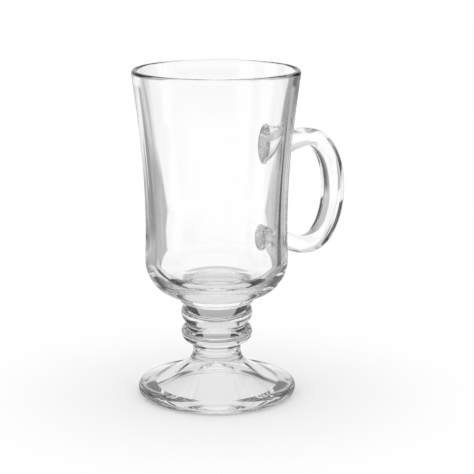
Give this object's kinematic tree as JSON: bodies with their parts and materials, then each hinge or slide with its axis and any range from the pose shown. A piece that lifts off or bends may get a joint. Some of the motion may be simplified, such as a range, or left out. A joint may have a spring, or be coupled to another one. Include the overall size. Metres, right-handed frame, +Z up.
{
  "type": "footed glass coffee mug",
  "caption": "Clear glass footed mug for hot drinks: flared bowl on a ringed stem and domed foot, with a loop handle welded to its wall.",
  "frame": {"origin": "middle of the footprint on the resting plane: the bottom centre of the bounding box; the axis of the bowl stands 22 mm towards -X", "axes": "+Z up along the axis of the bowl, +X towards the handle, +Y across the handle"},
  "size_m": [0.12, 0.076, 0.15],
  "materials": {
    "clear_glass": "fire-polished clear pressed soda-lime glass"
  },
  "bodies": {
    "root": {"bowl": "clear_glass", "merese_collar": "clear_glass", "upper_knop": "clear_glass", "lower_knop": "clear_glass", "stem": "clear_glass", "foot": "clear_glass", "handle": "clear_glass"}
  },
  "joints": []
}
